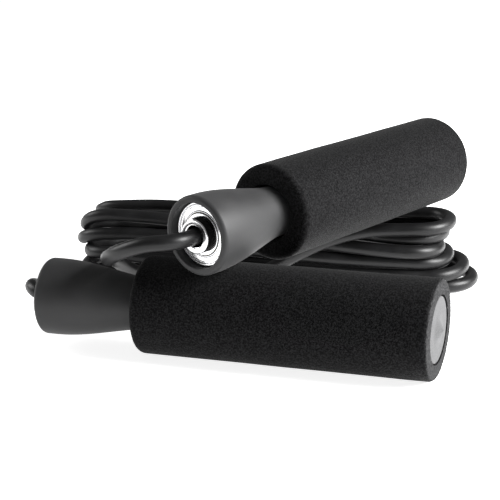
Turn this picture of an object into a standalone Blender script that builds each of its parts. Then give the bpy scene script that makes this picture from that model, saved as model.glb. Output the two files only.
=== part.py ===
"""Jump rope: two weighted foam handles that spin on ball bearings, and one coiled rope.

Metres, +Z up.  The origin is under the middle of the two crossed handles, on the floor.
Each handle is drawn along its own +X: 0 is the foam's front face, the nose reaches to -X
and the weight bar to +X.  An empty on each handle's axis puts it in its place.
"""

import math

import bmesh
import bpy
from mathutils import Matrix, Vector

MM = 0.001
GAP = 0.3 * MM

# Grip and weight bar
GRIP_RADIUS = 19.0 * MM
GRIP_LENGTH = 115.5 * MM
GRIP_BORE = 13.0 * MM
GRIP_EDGE = 2.5 * MM
GRIP_MOUTH = 10.9 * MM
GRIP_MOUTH_DEPTH = 4.0 * MM
BAR_RADIUS = GRIP_BORE - GAP
BAR_RECESS = 0.3 * MM
BAR_EDGE = 0.8 * MM

# Nose housing, measured forward from the foam's front face
NOSE_LENGTH = 40.4 * MM
NECK_RADIUS = 10.0 * MM
NECK_DEPTH = 10.0 * MM
NOSE_RADIUS = 15.0 * MM
NOSE_WIDEST = 35.5 * MM
LIP_START = 38.6 * MM
LIP_RADIUS = 13.4 * MM
CAVITY_RADIUS = 9.0 * MM
CAVITY_END = 14.0 * MM
POCKET_RADIUS = 6.0 * MM
POCKET_END = 4.0 * MM

# Ball bearing, 12 x 24 x 6
BEARING_FRONT = 37.2 * MM
BEARING_WIDTH = 6.0 * MM
BEARING_OUTER = 12.0 * MM
BEARING_BORE = 6.2 * MM
PITCH_RADIUS = 9.1 * MM
BALL_RADIUS = 1.5 * MM
BALL_PLAY = 0.2 * MM
BALL_COUNT = 7
OUTER_SHOULDER = 10.3 * MM
INNER_SHOULDER = 7.9 * MM
SHIELD_SEAT = 11.2 * MM
SHIELD_THICKNESS = 0.4 * MM

# Rope end
ROPE_RADIUS = 3.0 * MM
ROPE_HOLE = ROPE_RADIUS + GAP
ROPE_END = 17.8 * MM
FERRULE_RADIUS = 5.0 * MM
FERRULE_LENGTH = 11.0 * MM
WASHER_RADIUS = 7.4 * MM
WASHER_THICKNESS = 1.1 * MM
COLLAR_RADIUS = 6.5 * MM
COLLAR_BORE = 4.0 * MM
COLLAR_FRONT = 41.0 * MM
COLLAR_EDGE = 0.6 * MM

# Screw between nose and bar, M6
SCREW_RADIUS = 3.0 * MM
SCREW_HEAD = 5.0 * MM
SCREW_HEAD_HEIGHT = 5.5 * MM
SCREW_LENGTH = 28.0 * MM
SOCKET_RADIUS = 2.9 * MM
SOCKET_DEPTH = 2.6 * MM

# Layout, from the middle of the two crossed handles
MIDDLE = Vector((37.25, 54.47, 0.0)) * MM
HANDLE_1 = Vector((0.0, 0.0, 19.0)) * MM - MIDDLE
HANDLE_2 = Vector((43.4, 19.7, 53.4)) * MM - MIDDLE
HANDLE_2_TURN = math.radians(65.25)
HANDLE_2_RISE = math.radians(2.0)
HANDLES = {
    "1": Matrix.Translation(HANDLE_1),
    "2": Matrix.Translation(HANDLE_2)
    @ Matrix.Rotation(HANDLE_2_TURN, 4, "Z")
    @ Matrix.Rotation(-HANDLE_2_RISE, 4, "Y"),
}

# The coil: a slanting oval of stacked turns
COIL_LEFT = Vector((-43.0, 92.0)) * MM - MIDDLE.xy
COIL_RIGHT = Vector((88.0, 115.0)) * MM - MIDDLE.xy
COIL_END_RADIUS = 29.0 * MM
COIL_HEIGHT = 36.0 * MM
COIL_EDGE = 5.0 * MM
COIL_END_STEPS = 14

# Routes of the two leads from just past each bearing to the coil, chosen by hand, in
# millimetres from HANDLE_1's foam face on the floor
LEAD_1_ROUTE = (
    (-44.5, 0.4, 19.6),
    (-47.6, 2.2, 20.2),
    (-50.2, 5.6, 20.2),
    (-51.9, 10.0, 19.2),
    (-53.1, 15.0, 17.4),
    (-54.4, 21.0, 14.6),
    (-56.0, 29.0, 11.2),
    (-57.8, 38.0, 7.8),
    (-59.8, 48.0, 5.2),
    (-61.6, 57.0, 3.9),
    (-62.3, 66.0, 3.4),
)
LEAD_2_ROUTE = (
    (24.6, -21.0, 51.8),
    (22.3, -24.7, 51.7),
    (18.2, -27.3, 51.5),
    (12.6, -27.9, 50.8),
    (5.8, -26.8, 48.6),
    (-1.2, -23.6, 45.4),
    (-6.8, -17.6, 41.8),
    (-10.8, -9.0, 38.8),
    (-13.2, 0.4, 36.2),
    (-14.8, 10.0, 32.2),
    (-15.0, 20.0, 26.6),
    (-12.0, 31.0, 20.6),
    (-4.0, 40.5, 15.0),
    (8.0, 49.0, 12.5),
    (20.0, 58.0, 13.0),
    (30.0, 66.5, 16.0),
)
LEAD_POINT_SPACING = 2.0 * 2 * ROPE_RADIUS


def clear_scene():
    for old in list(bpy.data.objects):
        bpy.data.objects.remove(old, do_unlink=True)


def material(name, colour, roughness, metallic=0.0):
    made = bpy.data.materials.new(name)
    made.use_nodes = True
    shader = made.node_tree.nodes["Principled BSDF"]
    shader.inputs["Base Color"].default_value = (*colour, 1.0)
    shader.inputs["Roughness"].default_value = roughness
    shader.inputs["Metallic"].default_value = metallic
    made.diffuse_color = (*colour, 1.0)
    return made


def arc(centre, radius, start, end, steps):
    """Points (along, out) round a centre, from one angle in degrees to the other."""
    along, out = centre
    radius_along, radius_out = radius if isinstance(radius, tuple) else (radius, radius)
    turn = [math.radians(start + (end - start) * i / steps) for i in range(steps + 1)]
    return [
        (along + radius_along * math.cos(t), out + radius_out * math.sin(t)) for t in turn
    ]


def finish_mesh(name, shape, surface, parent):
    bmesh.ops.recalc_face_normals(shape, faces=shape.faces)
    mesh = bpy.data.meshes.new(name)
    shape.to_mesh(mesh)
    shape.free()
    mesh.shade_smooth()
    mesh.set_sharp_from_angle(angle=math.radians(35))
    mesh.materials.append(surface)
    made = bpy.data.objects.new(name, mesh)
    bpy.context.collection.objects.link(made)
    made.parent = parent
    return made


def turned(name, outline, surface, parent, steps=24):
    """A piece turned about X.  The outline is (along, out); it closes on itself, or,
    where it starts and ends on the axis, it is left open there."""
    shape = bmesh.new()
    points = [shape.verts.new((along, 0.0, -out)) for along, out in outline]
    edges = [shape.edges.new(pair) for pair in zip(points, points[1:])]
    on_axis = outline[0][1] == 0.0
    if not on_axis:
        edges.append(shape.edges.new((points[-1], points[0])))
    bmesh.ops.spin(
        shape,
        geom=points + edges,
        axis=(1, 0, 0),
        cent=(0, 0, 0),
        angle=2 * math.pi,
        steps=steps,
        use_merge=True,
    )
    if on_axis:
        bmesh.ops.remove_doubles(shape, verts=shape.verts, dist=0.00001)
    return finish_mesh(name, shape, surface, parent)


def cut(made, cutter, name):
    cutter.hide_render = True
    cutter.display_type = "WIRE"
    boolean = made.modifiers.new(name, "BOOLEAN")
    boolean.operation = "DIFFERENCE"
    boolean.solver = "EXACT"
    boolean.object = cutter


def nose_outline():
    """Neck, flare, rounded lip, then back through the bearing seat and the cavity."""
    flare_steps = 7
    flare = []
    for i in range(flare_steps + 1):
        forward = NOSE_WIDEST * i / flare_steps
        share = math.sin(math.pi / 2 * (forward / NOSE_WIDEST) ** 1.25)
        flare.append((-forward, NECK_RADIUS + (NOSE_RADIUS - NECK_RADIUS) * share))
    lip_size = (NOSE_LENGTH - LIP_START, NOSE_RADIUS - LIP_RADIUS)
    lip = arc((-LIP_START, LIP_RADIUS), lip_size, 90, 180, 4)
    seat_radius = BEARING_OUTER + GAP
    seat_end = BEARING_FRONT - BEARING_WIDTH - GAP
    screw_hole = SCREW_RADIUS + GAP
    return (
        [(NECK_DEPTH, NECK_RADIUS)]
        + flare
        + lip
        + [
            (-NOSE_LENGTH, seat_radius),
            (-seat_end, seat_radius),
            (-seat_end, CAVITY_RADIUS),
            (-CAVITY_END, CAVITY_RADIUS),
            (-CAVITY_END + CAVITY_RADIUS - POCKET_RADIUS, POCKET_RADIUS),
            (-POCKET_END, POCKET_RADIUS),
            (-POCKET_END, screw_hole),
            (NECK_DEPTH, screw_hole),
        ]
    )


def grip_outline():
    inner = GRIP_RADIUS - GRIP_EDGE
    return (
        arc((GRIP_EDGE, inner), GRIP_EDGE, 180, 90, 3)
        + arc((GRIP_LENGTH - GRIP_EDGE, inner), GRIP_EDGE, 90, 0, 3)
        + [(GRIP_LENGTH, GRIP_BORE), (GRIP_MOUTH_DEPTH + 2 * MM, GRIP_BORE)]
        + [(GRIP_MOUTH_DEPTH, GRIP_MOUTH), (0.0, GRIP_MOUTH)]
    )


def bar_outline():
    front = NECK_DEPTH + GAP
    back = GRIP_LENGTH - BAR_RECESS
    hole = SCREW_RADIUS + GAP
    hole_end = SCREW_LENGTH - POCKET_END + 2 * MM
    return [
        (hole_end, 0.0),
        (hole_end, hole),
        (front, hole),
        (front, BAR_RADIUS - BAR_EDGE),
        (front + BAR_EDGE, BAR_RADIUS),
        (back - BAR_EDGE, BAR_RADIUS),
        (back, BAR_RADIUS - BAR_EDGE),
        (back, 0.0),
    ]


def screw_outline():
    seat = -POCKET_END - GAP
    top = seat - SCREW_HEAD_HEIGHT
    chamfer = 0.5 * MM
    tip = seat + SCREW_LENGTH
    return [
        (top, 0.0),
        (top, SCREW_HEAD - chamfer),
        (top + chamfer, SCREW_HEAD),
        (seat, SCREW_HEAD),
        (seat, SCREW_RADIUS),
        (tip - chamfer, SCREW_RADIUS),
        (tip, SCREW_RADIUS - chamfer),
        (tip, 0.0),
    ]


def groove(shoulder, side):
    """The half-round ball track in a race whose shoulder has this radius.  side is 1 for
    the outer race and -1 for the inner one."""
    radius = BALL_RADIUS + BALL_PLAY
    rise = abs(shoulder - PITCH_RADIUS)
    start = math.degrees(math.asin(rise / radius))
    middle = -(BEARING_FRONT - BEARING_WIDTH / 2)
    return arc((middle, PITCH_RADIUS), radius, side * start, side * (180 - start), 4)


def outer_race_outline():
    front, back = -BEARING_FRONT, -BEARING_FRONT + BEARING_WIDTH
    seat = 2 * SHIELD_THICKNESS
    return (
        [(front, BEARING_OUTER), (back, BEARING_OUTER)]
        + [(back, SHIELD_SEAT), (back - seat, SHIELD_SEAT), (back - seat, OUTER_SHOULDER)]
        + groove(OUTER_SHOULDER, 1)
        + [(front + seat, OUTER_SHOULDER), (front + seat, SHIELD_SEAT)]
        + [(front, SHIELD_SEAT)]
    )


def inner_race_outline():
    front, back = -BEARING_FRONT, -BEARING_FRONT + BEARING_WIDTH
    return (
        [(front, BEARING_BORE), (back, BEARING_BORE), (back, INNER_SHOULDER)]
        + groove(INNER_SHOULDER, -1)
        + [(front, INNER_SHOULDER)]
    )


def ring_outline(front, back, inner, outer):
    return [(front, inner), (back, inner), (back, outer), (front, outer)]


def collar_outline():
    front = -COLLAR_FRONT
    flange = -BEARING_FRONT - GAP
    back = -BEARING_FRONT + BEARING_WIDTH + 2 * GAP
    sleeve = BEARING_BORE - GAP
    outer_edge = (front + COLLAR_EDGE, COLLAR_RADIUS - COLLAR_EDGE)
    inner_edge = (front + COLLAR_EDGE, COLLAR_BORE + COLLAR_EDGE)
    return (
        [(back, COLLAR_BORE), (back, sleeve), (flange, sleeve), (flange, COLLAR_RADIUS)]
        + arc(outer_edge, COLLAR_EDGE, 90, 180, 2)
        + arc(inner_edge, COLLAR_EDGE, 180, 270, 2)
    )


def ferrule_outline():
    """A sleeve with two crimped waists."""
    back = -ROPE_END + GAP
    step = FERRULE_LENGTH / 5
    waist = FERRULE_RADIUS - 0.8 * MM
    outer = [FERRULE_RADIUS, waist, FERRULE_RADIUS, waist, FERRULE_RADIUS, FERRULE_RADIUS]
    outside = [(back - step * i, out) for i, out in enumerate(outer)]
    return [(back, ROPE_HOLE)] + outside + [(back - FERRULE_LENGTH, ROPE_HOLE)]


def ball_place(i):
    turn = 2 * math.pi * i / BALL_COUNT
    middle = -(BEARING_FRONT - BEARING_WIDTH / 2)
    return Vector((middle, PITCH_RADIUS * math.sin(turn), PITCH_RADIUS * math.cos(turn)))


def add_balls(which, surface, parent):
    shape = bmesh.new()
    bmesh.ops.create_uvsphere(shape, u_segments=10, v_segments=6, radius=BALL_RADIUS)
    first = finish_mesh(f"ball_{which}_1", shape, surface, parent)
    first.location = ball_place(0)
    for i in range(1, BALL_COUNT):
        ball = bpy.data.objects.new(f"ball_{which}_{i + 1}", first.data)
        bpy.context.collection.objects.link(ball)
        ball.parent = parent
        ball.location = ball_place(i)


def add_cage(which, surface, parent):
    """A snap-in cage: a ring behind the balls, with a pocket cut for each."""
    middle = -(BEARING_FRONT - BEARING_WIDTH / 2)
    outline = ring_outline(middle - 0.3 * MM, middle + 2.1 * MM, 8.3 * MM, 9.9 * MM)
    cage = turned(f"bearing_cage_{which}", outline, surface, parent)
    shape = bmesh.new()
    pocket = BALL_RADIUS + BALL_PLAY
    for i in range(BALL_COUNT):
        place = Matrix.Translation(ball_place(i))
        bmesh.ops.create_uvsphere(
            shape, u_segments=8, v_segments=6, radius=pocket, matrix=place
        )
    cut(cage, finish_mesh(f"pocket_cutter_{which}", shape, surface, parent), "pockets")


def add_screw(which, surface, parent):
    screw = turned(f"weight_screw_{which}", screw_outline(), surface, parent, 16)
    shape = bmesh.new()
    top = -POCKET_END - GAP - SCREW_HEAD_HEIGHT
    turn = Matrix.Translation((top, 0, 0)) @ Matrix.Rotation(math.pi / 2, 4, "Y")
    bmesh.ops.create_cone(
        shape,
        cap_ends=True,
        segments=6,
        radius1=SOCKET_RADIUS,
        radius2=SOCKET_RADIUS,
        depth=2 * SOCKET_DEPTH,
        matrix=turn,
    )
    cut(screw, finish_mesh(f"socket_cutter_{which}", shape, surface, parent), "socket")


def add_handle(which, place, looks):
    axis = bpy.data.objects.new(f"handle_{which}_axis", None)
    bpy.context.collection.objects.link(axis)
    axis.matrix_world = place
    front, back = -BEARING_FRONT, -BEARING_FRONT + BEARING_WIDTH
    shield_inner = INNER_SHOULDER + GAP
    shield_outer = SHIELD_SEAT - GAP
    washer_front = -BEARING_FRONT + BEARING_WIDTH + 3 * GAP
    turned(f"nose_housing_{which}", nose_outline(), looks["nose"], axis, 32)
    turned(f"foam_grip_{which}", grip_outline(), looks["foam"], axis, 32)
    turned(f"weight_bar_{which}", bar_outline(), looks["bar"], axis, 28)
    add_screw(which, looks["steel"], axis)
    turned(f"outer_race_{which}", outer_race_outline(), looks["chrome"], axis)
    turned(f"inner_race_{which}", inner_race_outline(), looks["chrome"], axis)
    add_cage(which, looks["brass"], axis)
    add_balls(which, looks["chrome"], axis)
    front_shield = ring_outline(
        front + SHIELD_THICKNESS, front + 2 * SHIELD_THICKNESS, shield_inner, shield_outer
    )
    turned(f"front_shield_{which}", front_shield, looks["chrome"], axis)
    rear_shield = ring_outline(
        back - 2 * SHIELD_THICKNESS, back - SHIELD_THICKNESS, shield_inner, shield_outer
    )
    turned(f"rear_shield_{which}", rear_shield, looks["steel"], axis)
    turned(f"rope_collar_{which}", collar_outline(), looks["chrome"], axis)
    washer = ring_outline(
        washer_front, washer_front + WASHER_THICKNESS, ROPE_HOLE, WASHER_RADIUS
    )
    turned(f"stop_washer_{which}", washer, looks["steel"], axis, 20)
    turned(f"rope_ferrule_{which}", ferrule_outline(), looks["steel"], axis, 16)


def smooth_curve(points, spacing):
    """Evenly spaced points on a Catmull-Rom curve through the given ones."""
    ends = [2 * points[0] - points[1]] + points + [2 * points[-1] - points[-2]]
    dense = []
    for a, b, c, d in zip(ends, ends[1:], ends[2:], ends[3:]):
        for i in range(20):
            t = i / 20
            dense.append(
                0.5
                * (
                    2 * b
                    + (c - a) * t
                    + (2 * a - 5 * b + 4 * c - d) * t**2
                    + (3 * b - a - 3 * c + d) * t**3
                )
            )
    dense.append(points[-1])
    travelled = [0.0]
    for p, q in zip(dense, dense[1:]):
        travelled.append(travelled[-1] + (q - p).length)
    count = max(2, round(travelled[-1] / spacing))
    picked, at = [], 0
    for i in range(count + 1):
        goal = travelled[-1] * i / count
        while at < len(dense) - 2 and travelled[at + 1] < goal:
            at += 1
        step = travelled[at + 1] - travelled[at]
        picked.append(dense[at].lerp(dense[at + 1], (goal - travelled[at]) / step))
    return picked


def add_lead(which, place, route, surface):
    """A tube from inside the ferrule, along the bearing's axis, and on to the coil."""
    inside = [place @ Vector((-s * MM, 0, 0)) for s in (17.8, 24.0, 31.0, 37.0)]
    outside = [Vector(point) * MM - MIDDLE for point in route]
    points = smooth_curve(inside + outside, LEAD_POINT_SPACING)
    curve = bpy.data.curves.new(f"rope_lead_{which}", "CURVE")
    curve.dimensions = "3D"
    curve.bevel_depth = ROPE_RADIUS
    curve.bevel_resolution = 2
    curve.use_fill_caps = True
    spline = curve.splines.new("POLY")
    spline.points.add(len(points) - 1)
    for point, place_at in zip(spline.points, points):
        point.co = (*place_at, 1.0)
    curve.materials.append(surface)
    made = bpy.data.objects.new(f"rope_lead_{which}", curve)
    bpy.context.collection.objects.link(made)


def oval(radius):
    """An oval round the coil's two end centres, anticlockwise, starting at its left."""
    along = (COIL_RIGHT - COIL_LEFT).normalized()
    lean = math.atan2(along.y, along.x)
    points = []
    for centre, start in ((COIL_RIGHT, -90), (COIL_LEFT, 90)):
        for i in range(COIL_END_STEPS + 1):
            turn = lean + math.radians(start + 180 * i / COIL_END_STEPS)
            points.append(centre + radius * Vector((math.cos(turn), math.sin(turn))))
    return points


def add_coil(surface):
    """The outer shape of all the turns: a low oval block with eased edges."""
    shape = bmesh.new()
    levels = []
    inset = COIL_EDGE
    for radius, height in (
        (COIL_END_RADIUS - inset, 0.0),
        (COIL_END_RADIUS, inset),
        (COIL_END_RADIUS, COIL_HEIGHT - inset),
        (COIL_END_RADIUS - inset, COIL_HEIGHT),
    ):
        levels.append([shape.verts.new((p.x, p.y, height)) for p in oval(radius)])
    for lower, upper in zip(levels, levels[1:]):
        for i in range(len(lower)):
            j = (i + 1) % len(lower)
            shape.faces.new((lower[i], lower[j], upper[j], upper[i]))
    shape.faces.new(levels[-1])
    shape.faces.new(levels[0][::-1])
    finish_mesh("rope_coil", shape, surface, None)


def main():
    clear_scene()
    looks = {
        "foam": material("black_foam", (0.012, 0.012, 0.013), 0.9),
        "nose": material("grey_plastic", (0.05, 0.05, 0.052), 0.5),
        "bar": material("bar_steel", (0.5, 0.5, 0.5), 0.45, 1.0),
        "chrome": material("bright_steel", (0.8, 0.8, 0.8), 0.12, 1.0),
        "steel": material("plain_steel", (0.45, 0.45, 0.46), 0.35, 1.0),
        "brass": material("cage_brass", (0.7, 0.5, 0.2), 0.35, 1.0),
        "rope": material("black_rope", (0.02, 0.02, 0.021), 0.35),
    }
    for which, place in HANDLES.items():
        add_handle(which, place, looks)
    add_lead("1", HANDLES["1"], LEAD_1_ROUTE, looks["rope"])
    add_lead("2", HANDLES["2"], LEAD_2_ROUTE, looks["rope"])
    add_coil(looks["rope"])


main()
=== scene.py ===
"""Jump rope: foam grips, soft-touch noses, chrome bearings, steel bar ends and a PVC rope."""

import math

import bpy
import numpy as np
from mathutils import Matrix, Vector, noise


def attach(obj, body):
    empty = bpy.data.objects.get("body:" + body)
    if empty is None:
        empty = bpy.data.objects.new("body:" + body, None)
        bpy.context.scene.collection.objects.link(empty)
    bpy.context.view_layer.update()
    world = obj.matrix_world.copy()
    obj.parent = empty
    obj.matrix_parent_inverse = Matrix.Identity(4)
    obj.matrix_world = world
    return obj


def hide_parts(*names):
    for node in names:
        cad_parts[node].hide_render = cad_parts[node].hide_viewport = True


MM = 0.001
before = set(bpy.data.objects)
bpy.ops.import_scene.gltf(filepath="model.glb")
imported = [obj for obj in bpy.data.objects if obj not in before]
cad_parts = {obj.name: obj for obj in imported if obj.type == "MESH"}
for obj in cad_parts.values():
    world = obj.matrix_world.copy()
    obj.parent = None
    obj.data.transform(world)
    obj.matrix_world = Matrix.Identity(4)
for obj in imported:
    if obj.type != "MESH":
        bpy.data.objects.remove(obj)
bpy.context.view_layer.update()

# Places, in millimetres from the lower handle's foam face on the floor
MIDDLE = np.array([37.25, 54.47, 0.0])
ORIGINS = {"1": np.array([0.0, 0.0, 19.0]), "2": np.array([43.4, 19.7, 53.4])}
TURN, RISE = math.radians(65.25), math.radians(2.0)
AXES = {
    "1": np.array([1.0, 0.0, 0.0]),
    "2": np.array(
        [
            math.cos(RISE) * math.cos(TURN),
            math.cos(RISE) * math.sin(TURN),
            math.sin(RISE),
        ]
    ),
}

# Sizes in millimetres, as in the part
GAP = 0.3
ROPE_RADIUS = 3.0
ROPE_END = 17.8
GRIP_RADIUS = 19.0
GRIP_LENGTH = 115.5
GRIP_BORE = 13.0
GRIP_MOUTH = 10.9
GRIP_MOUTH_DEPTH = 4.0
BAR_END = 115.2
NECK_RADIUS = 10.0
NECK_DEPTH = 10.0
NOSE_LENGTH = 40.4
NOSE_WIDEST = 35.5
NOSE_RADIUS = 15.0
LIP_START = 38.6
LIP_RADIUS = 13.4
CAVITY_RADIUS = 9.0
CAVITY_END = 14.0
POCKET_RADIUS = 6.0
POCKET_END = 4.0
SCREW_RADIUS = 3.0
BEARING_FRONT = 37.2
BEARING_BACK = 31.2
BEARING_OUTER = 12.0
BEARING_BORE = 6.2
OUTER_SHOULDER = 10.3
INNER_SHOULDER = 7.9
SHIELD_SEAT = 11.2
SHIELD_THICKNESS = 0.4
COLLAR_FRONT = 41.0
COLLAR_RADIUS = 6.5
COLLAR_BORE = 4.0
COLLAR_EDGE = 0.6

# How far the near side of each grip's far end leans back
SLANTS = {"1": 4.0, "2": 0.0}
SLANT_START, SLANT_RUN = 96.0, 18.0


def in_row(point):
    return Vector((np.asarray(point, float) - MIDDLE) * MM)


# ---------------------------------------------------------------- camera
def add_camera():
    data = bpy.data.cameras.new("camera")
    data.lens = 89.18
    data.sensor_width = 36.0
    data.clip_start = 0.01
    data.clip_end = 50.0
    camera = bpy.data.objects.new("camera", data)
    bpy.context.collection.objects.link(camera)
    camera.location = (0.128357, -0.481754, 0.164337)
    forward = Vector((-0.267825, 0.927191, -0.261890))
    camera.rotation_euler = forward.to_track_quat("-Z", "Y").to_euler()
    bpy.context.scene.camera = camera


# ---------------------------------------------------------------- rope route
LEAD_1_ROUTE = (
    (-44.5, 0.4, 19.6),
    (-47.6, 2.2, 20.2),
    (-50.2, 5.6, 20.2),
    (-51.9, 10.0, 19.2),
    (-53.1, 15.0, 17.4),
    (-54.4, 21.0, 14.6),
    (-56.0, 29.0, 11.2),
    (-57.8, 38.0, 7.8),
    (-59.8, 48.0, 5.2),
    (-61.6, 57.0, 3.9),
    (-62.3, 66.0, 3.4),
)
LEAD_2_ROUTE = (
    (24.6, -21.0, 51.8),
    (22.3, -24.7, 51.7),
    (18.2, -27.3, 51.5),
    (12.6, -27.9, 50.8),
    (5.8, -26.8, 48.6),
    (-1.2, -23.6, 45.4),
    (-6.8, -17.6, 41.8),
    (-10.8, -9.0, 38.8),
    (-13.2, 0.4, 36.2),
    (-14.8, 10.0, 32.2),
    (-15.0, 20.0, 26.6),
    (-12.0, 31.0, 20.6),
    (-4.0, 40.5, 15.0),
    (8.0, 49.0, 12.5),
    (20.0, 58.0, 13.0),
    (30.0, 66.5, 16.0),
)
LAST_RISE = ((41.0, 77.0, 21.5), (54.0, 87.0, 26.5), (68.0, 93.0, 29.5))

# One row per turn.  Left end: middle x, y, half sizes, then heights at its front arm,
# its tip and its back arm.  Right end: the same, from its back arm to its front arm.
LEFT_ENDS = (
    (-46, 86, 15, 18, 4.0, 4.0, 3.3),
    (-39, 88, 13, 13.5, 3.3, 3.3, 3.3),
    (-44, 86, 15, 18, 9.6, 9.0, 8.0),
    (-43, 88, 15.5, 17, 17.0, 15.3, 11.0),
    (-48, 92, 15.5, 16, 24.5, 19.0, 15.5),
    (-48.5, 96, 15, 17, 32.5, 23.5, 20.5),
    (-48, 111, 15, 14, 32.5, 26.5, 26.0),
)
RIGHT_ENDS = (
    (95, 124, 17, 17, 3.2, 3.2, 3.2),
    (86, 124, 14, 14.5, 3.2, 3.2, 4.0),
    (92, 121, 16, 20, 9.2, 9.8, 9.5),
    (86, 118, 15, 18, 14.5, 15.5, 15.5),
    (83, 112, 15, 17, 20.0, 19.5, 21.0),
    (84, 117, 15, 18, 26.0, 25.5, 26.3),
    (86, 115, 16, 17, 30.0, 31.0, 30.0),
)
# Three points on each arm: share of the way along, sideways shift, height
FRONT_ARMS = (
    ((0.3, 0, 3.2), (0.6, 0, 3.2), (0.85, 0, 3.2)),
    ((0.3, 0, 6.5), (0.6, 0, 9.3), (0.85, 0, 9.6)),
    ((0.3, 0, 9.5), (0.6, -1, 12.0), (0.85, -1, 15.5)),
    ((0.3, 0, 16.5), (0.6, -2, 21.0), (0.85, -1, 25.0)),
    ((0.3, 4, 23.0), (0.6, 2, 29.0), (0.85, 1, 32.0)),
    ((0.3, 0, 28.5), (0.6, 3, 32.5), (0.85, 1, 33.8)),
)
BACK_ARMS = (
    ((0.25, 0, 3.2), (0.5, 2, 3.2), (0.75, 0, 3.2)),
    ((0.25, 0, 3.2), (0.5, 0, 3.2), (0.75, 0, 3.2)),
    ((0.25, 2, 6.0), (0.5, 4, 6.5), (0.75, 2, 8.5)),
    ((0.25, 4, 10.3), (0.5, 6, 10.5), (0.75, 0, 12.5)),
    ((0.25, 6, 15.0), (0.5, 8, 16.0), (0.75, 2, 18.0)),
    ((0.25, 6, 20.3), (0.5, 9, 22.0), (0.75, 5, 25.2)),
    ((0.25, 2, 26.0), (0.5, 4, 27.0), (0.75, 1, 29.5)),
)
SETTLE_STEP = 4.0
SETTLE_ROUNDS = 150
FLOOR_CLEAR = 3.05


def loop_end(row, side, first=0, steps=6):
    """Points round one end of a turn; side is -1 at the left and 1 at the right."""
    x, y, half_x, half_y, start_z, tip_z, end_z = row
    points = []
    for i in range(first, steps + 1):
        share = i / steps
        angle = math.radians(side * (90 - 180 * share) if side > 0 else -90 - 180 * share)
        across, along = math.cos(angle), math.sin(angle)
        tip = (1 - math.cos(2 * math.pi * share)) / 2
        foot_z = start_z if share < 0.5 else end_z
        points.append(
            (
                x + half_x * math.copysign(abs(across) ** 0.91, across),
                y + half_y * math.copysign(abs(along) ** 0.91, along),
                foot_z + (tip_z - foot_z) * tip,
            )
        )
    return points


def arm(start, end, rows):
    return [
        (
            start[0] + (end[0] - start[0]) * share,
            start[1] + (end[1] - start[1]) * share + shift,
            height,
        )
        for share, shift, height in rows
    ]


def coil_points():
    """The turns in order, clockwise from above, from the first lead to the second."""
    points = []
    last = len(LEFT_ENDS) - 1
    for turn in range(last + 1):
        left = loop_end(LEFT_ENDS[turn], -1, first=0 if turn else 3)
        right = loop_end(RIGHT_ENDS[turn], 1)
        points += left + arm(left[-1], right[0], BACK_ARMS[turn])
        if turn < last:
            following = loop_end(LEFT_ENDS[turn + 1], -1)
            points += right + arm(right[-1], following[0], FRONT_ARMS[turn])
        else:
            points += right[:-1] + list(LAST_RISE[::-1])
    return points


def smooth(points, steps):
    """A centripetal Catmull-Rom curve through the points."""
    points = np.asarray(points, float)
    ends = np.vstack([2 * points[0] - points[1], points, 2 * points[-1] - points[-2]])
    out = []
    for a, b, c, d in zip(ends, ends[1:], ends[2:], ends[3:]):
        ta = 0.0
        tb = ta + math.sqrt(np.linalg.norm(b - a))
        tc = tb + math.sqrt(np.linalg.norm(c - b))
        td = tc + math.sqrt(np.linalg.norm(d - c))
        for t in np.linspace(tb, tc, steps, endpoint=False):
            ab = ((tb - t) * a + (t - ta) * b) / (tb - ta)
            bc = ((tc - t) * b + (t - tb) * c) / (tc - tb)
            cd = ((td - t) * c + (t - tc) * d) / (td - tc)
            abc = ((tc - t) * ab + (t - ta) * bc) / (tc - ta)
            bcd = ((td - t) * bc + (t - tb) * cd) / (td - tb)
            out.append(((tc - t) * abc + (t - tb) * bcd) / (tc - tb))
    out.append(points[-1])
    return np.array(out)


def lengths(points):
    return np.r_[0, np.cumsum(np.linalg.norm(np.diff(points, axis=0), axis=1))]


def evenly(points, spacing):
    travelled = lengths(points)
    goals = np.linspace(0, travelled[-1], round(travelled[-1] / spacing) + 1)
    return np.stack([np.interp(goals, travelled, points[:, i]) for i in range(3)], 1)


def settle(points, first, last):
    """Lays the turns on each other: pushes crossing runs a diameter apart, keeps their
    bends, and holds them off the floor and the upper grip.  Points before first and after
    last stay put."""
    start = points.copy()
    bends = start[2:] + start[:-2] - 2 * start[1:-1]
    order = np.arange(len(points))
    apart = np.abs(order[:, None] - order) > 16 / SETTLE_STEP
    free = np.clip(np.minimum(order - first, last - order) / 5.0, 0, 1)[:, None]
    gap = 2 * ROPE_RADIUS + 0.15
    clear = GRIP_RADIUS + ROPE_RADIUS + 0.2
    for _ in range(SETTLE_ROUNDS):
        offset = points[:, None] - points
        distance = np.linalg.norm(offset, axis=2) + 1e-6
        close = (distance < gap) & apart
        push = (offset / distance[..., None] * ((gap - distance) * close)[..., None]).sum(1)
        push *= 0.4 / np.sqrt(np.maximum(1, close.sum(1)))[:, None]
        relax = np.zeros_like(points)
        relax[1:-1] = (points[2:] + points[:-2] - 2 * points[1:-1] - bends) * 0.25
        points = points + (push + relax + (start - points) * 0.02) * free
        low = (free[:, 0] > 0) & (points[:, 2] < FLOOR_CLEAR)
        points[low, 2] = FLOOR_CLEAR
        from_grip = points - ORIGINS["2"]
        along = from_grip @ AXES["2"]
        away = from_grip - along[:, None] * AXES["2"]
        radius = np.linalg.norm(away, axis=1)
        inside = (along > -2) & (along < 117) & (radius < clear) & (free[:, 0] > 0)
        moved = ORIGINS["2"] + along[:, None] * AXES["2"] + away / radius[:, None] * clear
        points[inside] = moved[inside]
    return points


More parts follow.
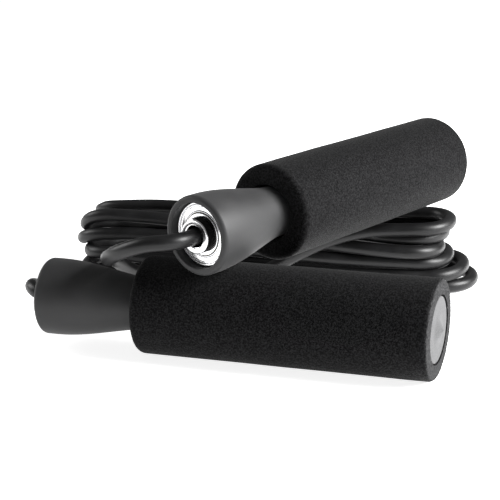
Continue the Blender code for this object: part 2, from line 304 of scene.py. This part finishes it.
def rope_line():
    inside = (ROPE_END, 24.0, 31.0, 37.0)
    first_end = [ORIGINS["1"] - AXES["1"] * s for s in inside]
    last_end = [ORIGINS["2"] - AXES["2"] * s for s in inside[::-1]]
    coil = coil_points()
    lead_in = len(first_end) + len(LEAD_1_ROUTE)
    route = first_end + list(LEAD_1_ROUTE) + coil + list(LEAD_2_ROUTE[::-1]) + last_end
    steps = 16
    curve = smooth(route, steps)
    travelled = lengths(curve)
    coil_start = travelled[(lead_in - 1) * steps] / SETTLE_STEP
    coil_end = travelled[(lead_in + len(coil)) * steps] / SETTLE_STEP
    line = settle(evenly(curve, SETTLE_STEP), int(coil_start) - 2, int(coil_end) + 1)
    return evenly(smooth(line, 4), 1.8)


def add_rope():
    line = rope_line()
    data = bpy.data.curves.new("rope", "CURVE")
    data.dimensions = "3D"
    spline = data.splines.new("POLY")
    spline.points.add(len(line) - 1)
    for point, place in zip(spline.points, line):
        point.co = (*in_row(place), 1.0)
    spline.use_smooth = True
    data.bevel_depth = ROPE_RADIUS * MM
    data.bevel_resolution = 6
    data.use_fill_caps = True
    rope = bpy.data.objects.new("rope", data)
    bpy.context.collection.objects.link(rope)
    return rope, lengths(line)[-1] * MM


# ---------------------------------------------------------------- materials
def new_material(name, colour, roughness, metallic=0.0, specular=0.5):
    material = bpy.data.materials.new(name)
    material.use_nodes = True
    shader = material.node_tree.nodes["Principled BSDF"]
    shader.inputs["Base Color"].default_value = (*colour, 1.0)
    shader.inputs["Roughness"].default_value = roughness
    shader.inputs["Metallic"].default_value = metallic
    shader.inputs["Specular IOR Level"].default_value = specular
    return material, shader


def add_node(material, kind, inputs=None, **settings):
    node = material.node_tree.nodes.new(kind)
    for key, value in settings.items():
        setattr(node, key, value)
    for key, value in (inputs or {}).items():
        node.inputs[key].default_value = value
    return node


def link(material, source, socket, target, into):
    material.node_tree.links.new(source.outputs[socket], target.inputs[into])


def grain(material, scale, detail=3.0, roughness=0.55):
    """Noise in the object's own metres."""
    place = add_node(material, "ShaderNodeTexCoord")
    texture = add_node(
        material,
        "ShaderNodeTexNoise",
        {"Scale": scale, "Detail": detail, "Roughness": roughness},
    )
    link(material, place, "Object", texture, "Vector")
    return texture


def between(material, source, socket, low, high, stops):
    """A ramp from colour low to colour high over the stops."""
    ramp = add_node(material, "ShaderNodeValToRGB")
    ramp.color_ramp.elements[0].position, ramp.color_ramp.elements[1].position = stops
    ramp.color_ramp.elements[0].color = (*low, 1.0)
    ramp.color_ramp.elements[1].color = (*high, 1.0)
    link(material, source, socket, ramp, "Fac")
    return ramp


def bump(material, shader, source, socket, depth, strength):
    node = add_node(
        material, "ShaderNodeBump", {"Strength": strength, "Distance": depth * MM}
    )
    link(material, source, socket, node, "Height")
    link(material, node, "Normal", shader, "Normal")


def foam_material():
    material, shader = new_material("foam_skin", (0.006, 0.006, 0.0063), 0.66, specular=0.035)
    fine = grain(material, 1500.0, 3.0, 0.7)
    tone = between(
        material, fine, "Fac", (0.0008, 0.0008, 0.0009), (0.011, 0.011, 0.0115), (0.42, 0.62)
    )
    link(material, tone, "Color", shader, "Base Color")
    gloss = between(material, fine, "Fac", (0.8,) * 3, (0.56,) * 3, (0.38, 0.66))
    link(material, gloss, "Color", shader, "Roughness")
    bump(material, shader, fine, "Fac", 0.3, 0.6)
    shader.inputs["Sheen Weight"].default_value = 0.03
    shader.inputs["Sheen Roughness"].default_value = 0.5
    return material


def cut_foam_material():
    material, shader = new_material("foam_cut_end", (0.025, 0.025, 0.026), 0.9, specular=0.08)
    fine = grain(material, 1300.0, 3.0, 0.7)
    tone = between(
        material, fine, "Fac", (0.008, 0.008, 0.0083), (0.042, 0.042, 0.043), (0.36, 0.64)
    )
    link(material, tone, "Color", shader, "Base Color")
    bump(material, shader, fine, "Fac", 0.3, 0.7)
    return material


def nose_material():
    colour = (0.022, 0.022, 0.0225)
    material, shader = new_material("soft_touch_plastic", colour, 0.42, specular=0.26)
    broad = grain(material, 60.0, 4.0)
    tone = between(
        material, broad, "Fac", (0.019, 0.019, 0.0195), (0.025, 0.025, 0.0255), (0.35, 0.65)
    )
    link(material, tone, "Color", shader, "Base Color")
    fine = grain(material, 3500.0, 2.0)
    gloss = between(material, broad, "Fac", (0.48,) * 3, (0.58,) * 3, (0.3, 0.7))
    link(material, gloss, "Color", shader, "Roughness")
    bump(material, shader, fine, "Fac", 0.04, 0.5)
    shader.inputs["Sheen Weight"].default_value = 0.05
    shader.inputs["Sheen Roughness"].default_value = 0.45
    return material


def rope_material():
    material, shader = new_material("pvc_rope", (0.007, 0.007, 0.0073), 0.4, specular=0.26)
    broad = grain(material, 90.0, 4.0)
    tone = between(
        material, broad, "Fac", (0.005, 0.005, 0.0052), (0.009, 0.009, 0.0094), (0.35, 0.65)
    )
    link(material, tone, "Color", shader, "Base Color")
    gloss = between(material, broad, "Fac", (0.34,) * 3, (0.46,) * 3, (0.3, 0.7))
    link(material, gloss, "Color", shader, "Roughness")
    fine = grain(material, 1600.0, 2.0)
    bump(material, shader, fine, "Fac", 0.03, 0.4)
    return material


def metal_material(name, colour, roughness, spread):
    """A metal whose tone and gloss wander a little."""
    material, shader = new_material(name, colour, roughness, 1.0)
    texture = grain(material, 500.0, 4.0)
    low = tuple(c * (1 - spread) for c in colour)
    high = tuple(min(1.0, c * (1 + spread)) for c in colour)
    tone = between(material, texture, "Fac", low, high, (0.35, 0.65))
    link(material, tone, "Color", shader, "Base Color")
    glossy, dull = (roughness * 0.8,) * 3, (roughness * 1.25,) * 3
    gloss = between(material, texture, "Fac", glossy, dull, (0.3, 0.7))
    link(material, gloss, "Color", shader, "Roughness")
    bump(material, shader, texture, "Fac", 0.01, 0.5)
    return material


def painted_shade_sleeve_material():
    """The collar's dull outer side and bore, painted near-black as painted shade for the
    shadowed gap round the collar.
    """
    material, shader = new_material("sleeve_painted_shade", (0.004, 0.004, 0.004), 0.6, specular=0.06)
    texture = grain(material, 900.0)
    tone = between(material, texture, "Fac", (0.003,) * 3, (0.006,) * 3, (0.35, 0.65))
    link(material, tone, "Color", shader, "Base Color")
    return material


def bar_material():
    """Blasted bar end: pale and finely speckled."""
    material, shader = new_material("blasted_steel", (0.14, 0.14, 0.14), 0.6, 0.3)
    texture = grain(material, 2600.0, 2.0, 0.7)
    tone = between(
        material, texture, "Fac", (0.045, 0.045, 0.046), (0.085, 0.085, 0.087), (0.36, 0.62)
    )
    link(material, tone, "Color", shader, "Base Color")
    bump(material, shader, texture, "Fac", 0.06, 0.5)
    return material


def floor_material():
    """A lit white sweep: it glows a little, so its far parts stay as white as the near."""
    material, shader = new_material("studio_floor", (0.9, 0.9, 0.9), 0.8, specular=0.1)
    texture = grain(material, 3.0, 2.0)
    tone = between(
        material, texture, "Fac", (0.885, 0.885, 0.885), (0.9, 0.9, 0.9), (0.3, 0.7)
    )
    link(material, tone, "Color", shader, "Base Color")
    shader.inputs["Emission Color"].default_value = (1.0, 1.0, 1.0, 1.0)
    shader.inputs["Emission Strength"].default_value = 0.85
    return material


# ---------------------------------------------------------------- turned pieces
def arc(centre, radii, start, end, steps):
    out = []
    for i in range(steps + 1):
        angle = math.radians(start + (end - start) * i / steps)
        out.append(
            (
                centre[0] + radii[0] * math.cos(angle),
                centre[1] + radii[1] * math.sin(angle),
            )
        )
    return out


def eased(points, size, steps=4):
    """A closed outline with each corner rounded, at most by size."""
    out = []
    count = len(points)
    for i, here in enumerate(points):
        here = Vector(here)
        before = Vector(points[i - 1]) - here
        after = Vector(points[(i + 1) % count]) - here
        reach = min(size, 0.45 * before.length, 0.45 * after.length)
        if here.y < 1e-6 or reach < 1e-6:
            out.append(tuple(here))
            continue
        a, b = here + before.normalized() * reach, here + after.normalized() * reach
        for k in range(steps + 1):
            t = k / steps
            out.append(tuple(a * (1 - t) ** 2 + here * 2 * t * (1 - t) + b * t**2))
    return out


def turned(name, outline, which, material, closed=True, segments=128, shape=None):
    """A mesh turned about a handle's axis.  The outline is (distance towards the bar, radius)
    in millimetres, and shape moves a point (distance, radius, angle) before it is turned."""
    axis = Vector(AXES[which])
    side = Vector((0, 0, 1)).cross(axis).normalized()
    top = axis.cross(side)
    origin = Vector(ORIGINS[which])
    vertices, rings = [], []
    for along, radius in outline:
        if radius < 1e-6:
            vertices.append(in_row(origin + axis * along))
            rings.append([len(vertices) - 1])
            continue
        ring = []
        for i in range(segments):
            angle = 2 * math.pi * i / segments
            a, r = shape(along, radius, angle) if shape else (along, radius)
            out = side * math.cos(angle) + top * math.sin(angle)
            vertices.append(in_row(origin + axis * a + out * r))
            ring.append(len(vertices) - 1)
        rings.append(ring)
    pairs = list(zip(rings, rings[1:]))
    if closed:
        pairs.append((rings[-1], rings[0]))
    faces = []
    for lower, upper in pairs:
        for i in range(segments):
            j = (i + 1) % segments
            if len(lower) == 1 and len(upper) == 1:
                break
            if len(lower) == 1:
                faces.append((lower[0], upper[j], upper[i]))
            elif len(upper) == 1:
                faces.append((lower[i], lower[j], upper[0]))
            else:
                faces.append((lower[i], lower[j], upper[j], upper[i]))
    mesh = bpy.data.meshes.new(name)
    mesh.from_pydata(vertices, [], faces)
    mesh.update()
    mesh.materials.append(material)
    for polygon in mesh.polygons:
        polygon.use_smooth = True
    mesh.set_sharp_from_angle(angle=math.radians(32))
    piece = bpy.data.objects.new(name, mesh)
    bpy.context.collection.objects.link(piece)
    return piece


def outward(piece):
    """Turns the faces out, whichever way the outline ran."""
    mesh = piece.data
    mesh.calc_loop_triangles()
    volume = 0.0
    for triangle in mesh.loop_triangles:
        a, b, c = (mesh.vertices[i].co for i in triangle.vertices)
        volume += a.dot(b.cross(c))
    if volume < 0:
        mesh.flip_normals()
    return piece


def grip_points():
    """Rounded front, long skin, sharper sawn end, then back through the bore."""
    edge, saw_edge = 2.5, 1.4
    front = arc((edge, GRIP_RADIUS - edge), (edge, edge), 180, 90, 8)
    saw_centre = (GRIP_LENGTH - saw_edge, GRIP_RADIUS - saw_edge)
    back = arc(saw_centre, (saw_edge, saw_edge), 90, 0, 7)
    steps = 60
    run = [
        (front[-1][0] + (back[0][0] - front[-1][0]) * i / steps, GRIP_RADIUS)
        for i in range(1, steps)
    ]
    sawn_face = [(GRIP_LENGTH, r) for r in (16.6, 15.4, 14.2, GRIP_BORE)]
    hole = [(a, GRIP_BORE) for a in (GRIP_LENGTH - 2.0, GRIP_LENGTH - 6.0, 9.0, 6.0)]
    mouth = [(GRIP_MOUTH_DEPTH, GRIP_MOUTH), (1.0, GRIP_MOUTH), (0.4, GRIP_MOUTH + 0.2)]
    front_face = [(0.0, r) for r in (11.5, 13.5, 15.0)]
    return front + run + back + sawn_face + hole + mouth + front_face


def slanted(along, radius, angle, slant):
    """An end sawn a little off square: the face keeps its far edge and leans back."""
    share = max(0.0, min(1.0, (along - SLANT_START) / SLANT_RUN))
    return along - share * slant * (1.0 - radius * math.cos(angle) / GRIP_RADIUS) / 2


def foam_shape(seed, slant):
    """A ragged sawn end and a faintly uneven skin."""

    def move(along, radius, angle):
        spot = Vector((along * 0.6, radius * math.cos(angle), radius * math.sin(angle)))
        swell = noise.noise(spot * 0.09 + Vector((seed, 5, 0))) * 0.16
        if radius > 14:
            radius += swell
        ragged = noise.noise(spot * 0.9 + Vector((0, seed, 3))) * 0.3
        if along > GRIP_LENGTH - 1.5:
            along -= abs(ragged)
        along = slanted(along, radius, angle, slant)
        return along, min(radius, GRIP_RADIUS + 0.2)

    return move


def nose_points():
    """Flare and rounded lip, then back through the bearing seat and the cavity."""
    steps = 40
    flare = []
    for i in range(steps + 1):
        forward = NOSE_WIDEST * i / steps
        share = math.sin(math.pi / 2 * (forward / NOSE_WIDEST) ** 1.25)
        flare.append((-forward, NECK_RADIUS + (NOSE_RADIUS - NECK_RADIUS) * share))
    lip_size = (NOSE_LENGTH - LIP_START, NOSE_RADIUS - LIP_RADIUS)
    lip = arc((-LIP_START, LIP_RADIUS), lip_size, 90, 180, 12)
    seat, seat_end = BEARING_OUTER + GAP, -BEARING_BACK + GAP
    screw_hole = SCREW_RADIUS + GAP
    inner = [
        (-NOSE_LENGTH, seat + GAP),
        (-NOSE_LENGTH + GAP, seat),
        (seat_end, seat),
        (seat_end, CAVITY_RADIUS),
        (-CAVITY_END, CAVITY_RADIUS),
        (-CAVITY_END + CAVITY_RADIUS - POCKET_RADIUS, POCKET_RADIUS),
        (-POCKET_END, POCKET_RADIUS),
        (-POCKET_END, screw_hole),
        (NECK_DEPTH - 0.2, screw_hole),
        (NECK_DEPTH, NECK_RADIUS),
    ]
    return flare + lip + inner


def ring(front, back, inner, outer):
    return [(front, inner), (back, inner), (back, outer), (front, outer)]


def outer_race_points():
    front, back, step = -BEARING_FRONT, -BEARING_BACK, 2 * SHIELD_THICKNESS
    return [
        (front, BEARING_OUTER),
        (back, BEARING_OUTER),
        (back, SHIELD_SEAT),
        (back - step, SHIELD_SEAT),
        (back - step, OUTER_SHOULDER),
        (front + step, OUTER_SHOULDER),
        (front + step, SHIELD_SEAT),
        (front, SHIELD_SEAT),
    ]


def shield_points():
    """A thin ring whose middle is dished in."""
    back = -BEARING_FRONT + 2 * SHIELD_THICKNESS
    front, dish = back - SHIELD_THICKNESS, back - 0.15
    inner, outer = INNER_SHOULDER + GAP, SHIELD_SEAT - GAP
    return [
        (back, inner),
        (back, outer),
        (front, outer),
        (front, 10.5),
        (dish, 10.3),
        (dish, 8.8),
        (front, 8.5),
        (front, inner),
    ]


def collar_points():
    sleeve, back, flange = BEARING_BORE - GAP, 2 * GAP - BEARING_BACK, -BEARING_FRONT - GAP
    edge = (COLLAR_EDGE, COLLAR_EDGE)
    front = COLLAR_EDGE - COLLAR_FRONT
    return (
        [(back, COLLAR_BORE), (back, sleeve), (flange, sleeve), (flange, COLLAR_RADIUS)]
        + arc((front, COLLAR_RADIUS - COLLAR_EDGE), edge, 90, 180, 6)
        + arc((front, COLLAR_BORE + COLLAR_EDGE), edge, 180, 270, 6)
    )


def bar_points():
    """From its middle out, over a small edge, to the middle of its end."""
    front, radius, edge = 30.0, 12.5, 0.6
    corner = arc((BAR_END - edge, radius - edge), (edge, edge), 90, 0, 6)
    face = [(BAR_END, r) for r in (8.0, 4.0, 0.0)]
    return [(front, 0.0), (front, radius), (95.0, radius)] + corner + face


def add_handle(which, looks):
    body = "handle_" + which

    def piece(name, outline, look, rides, slot, stands_for, **options):
        made = outward(turned(f"{name}_{which}", outline, which, looks[look], **options))
        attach(made, rides)
        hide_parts(f"{stands_for}_{which}")
        return made

    slant = SLANTS[which]
    grip = piece(
        "grip",
        grip_points(),
        "foam",
        body,
        "black_foam",
        "foam_grip",
        segments=200,
        shape=foam_shape(7.0 * int(which), slant),
    )
    grip.data.materials.append(looks["cut"])
    axis, origin = Vector(AXES[which]), in_row(ORIGINS[which])
    for polygon in grip.data.polygons:
        along = (polygon.center - origin).dot(axis) / MM
        if abs(polygon.normal.dot(axis)) > 0.8 and along > 105.0:
            polygon.material_index = 1
    piece("nose", nose_points(), "nose", body, "grey_plastic", "nose_housing")
    piece(
        "bar",
        bar_points(),
        "bar",
        body,
        "bar_steel",
        "weight_bar",
        closed=False,
        shape=lambda a, r, angle: (slanted(a, r, angle, slant), r),
    )
    outer_race = eased(outer_race_points(), 0.25)
    piece("race_outer", outer_race, "chrome", body, "bright_steel", "outer_race")
    shield = eased(shield_points(), 0.12)
    piece("shield", shield, "chrome", body, "bright_steel", "front_shield")
    inner_race = ring(-BEARING_FRONT, -BEARING_BACK, BEARING_BORE, INNER_SHOULDER)
    inner_race = eased(inner_race, 0.25)
    piece("race_inner", inner_race, "chrome", "rope", "bright_steel", "inner_race")
    collar = piece(
        "collar", collar_points(), "chrome", "rope", "bright_steel", "rope_collar"
    )
    # The collar's side and bore take the near-black painted shade; its front and back faces
    # stay chrome.
    collar.data.materials.append(looks["black"])
    for polygon in collar.data.polygons:
        if abs(polygon.normal.dot(axis)) < 0.35:
            polygon.material_index = 1


# ---------------------------------------------------------------- floor and light
def add_floor(material):
    mesh = bpy.data.meshes.new("floor")
    size = 6.0
    mesh.from_pydata(
        [(-size, -size, 0), (size, -size, 0), (size, size, 0), (-size, size, 0)],
        [],
        [(0, 1, 2, 3)],
    )
    mesh.materials.append(material)
    floor = bpy.data.objects.new("floor", mesh)
    bpy.context.collection.objects.link(floor)
    floor.location.z = -0.0004


def add_light(name, place, target, size, power):
    data = bpy.data.lights.new(name, "AREA")
    data.shape = "RECTANGLE"
    data.size, data.size_y = size
    data.energy = power
    light = bpy.data.objects.new(name, data)
    bpy.context.collection.objects.link(light)
    light.location = place
    aim = Vector(target) - Vector(place)
    light.rotation_euler = aim.to_track_quat("-Z", "Y").to_euler()


def add_lights():
    scene = bpy.context.scene
    scene.view_settings.view_transform = "Standard"
    world = bpy.data.worlds.new("studio")
    scene.world = world
    world.use_nodes = True
    background = world.node_tree.nodes["Background"]
    background.inputs["Color"].default_value = (1.0, 1.0, 1.0, 1.0)
    background.inputs["Strength"].default_value = 0.16
    add_light("right", (0.88, 0.02, 0.52), (0, 0, 0.02), (0.6, 0.5), 36.0)
    add_light("left", (-0.95, 0.10, 0.45), (0, 0, 0.03), (0.5, 0.5), 4.0)


def main():
    add_camera()
    looks = {
        "foam": foam_material(),
        "cut": cut_foam_material(),
        "nose": nose_material(),
        "bar": bar_material(),
        "rope": rope_material(),
        "chrome": metal_material("bearing_chrome", (0.86, 0.86, 0.87), 0.16, 0.04),
        "steel": metal_material("plain_steel", (0.5, 0.5, 0.51), 0.4, 0.12),
        "black": painted_shade_sleeve_material(),
        "brass": metal_material("cage_brass", (0.7, 0.5, 0.2), 0.35, 0.1),
    }
    rope, rope_length = add_rope()
    rope.data.materials.append(looks["rope"])
    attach(rope, "rope")
    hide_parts("rope_lead_1", "rope_lead_2", "rope_coil")
    for which in ("1", "2"):
        add_handle(which, looks)
    kinds = {
        "ball": "chrome",
        "bearing_cage": "brass",
        "rear_shield": "steel",
        "stop_washer": "steel",
        "rope_ferrule": "steel",
        "weight_screw": "steel",
    }
    for name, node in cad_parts.items():
        for kind, look in kinds.items():
            if name.startswith(kind):
                node.data.materials.clear()
                node.data.materials.append(looks[look])
    add_floor(floor_material())
    add_lights()


main()
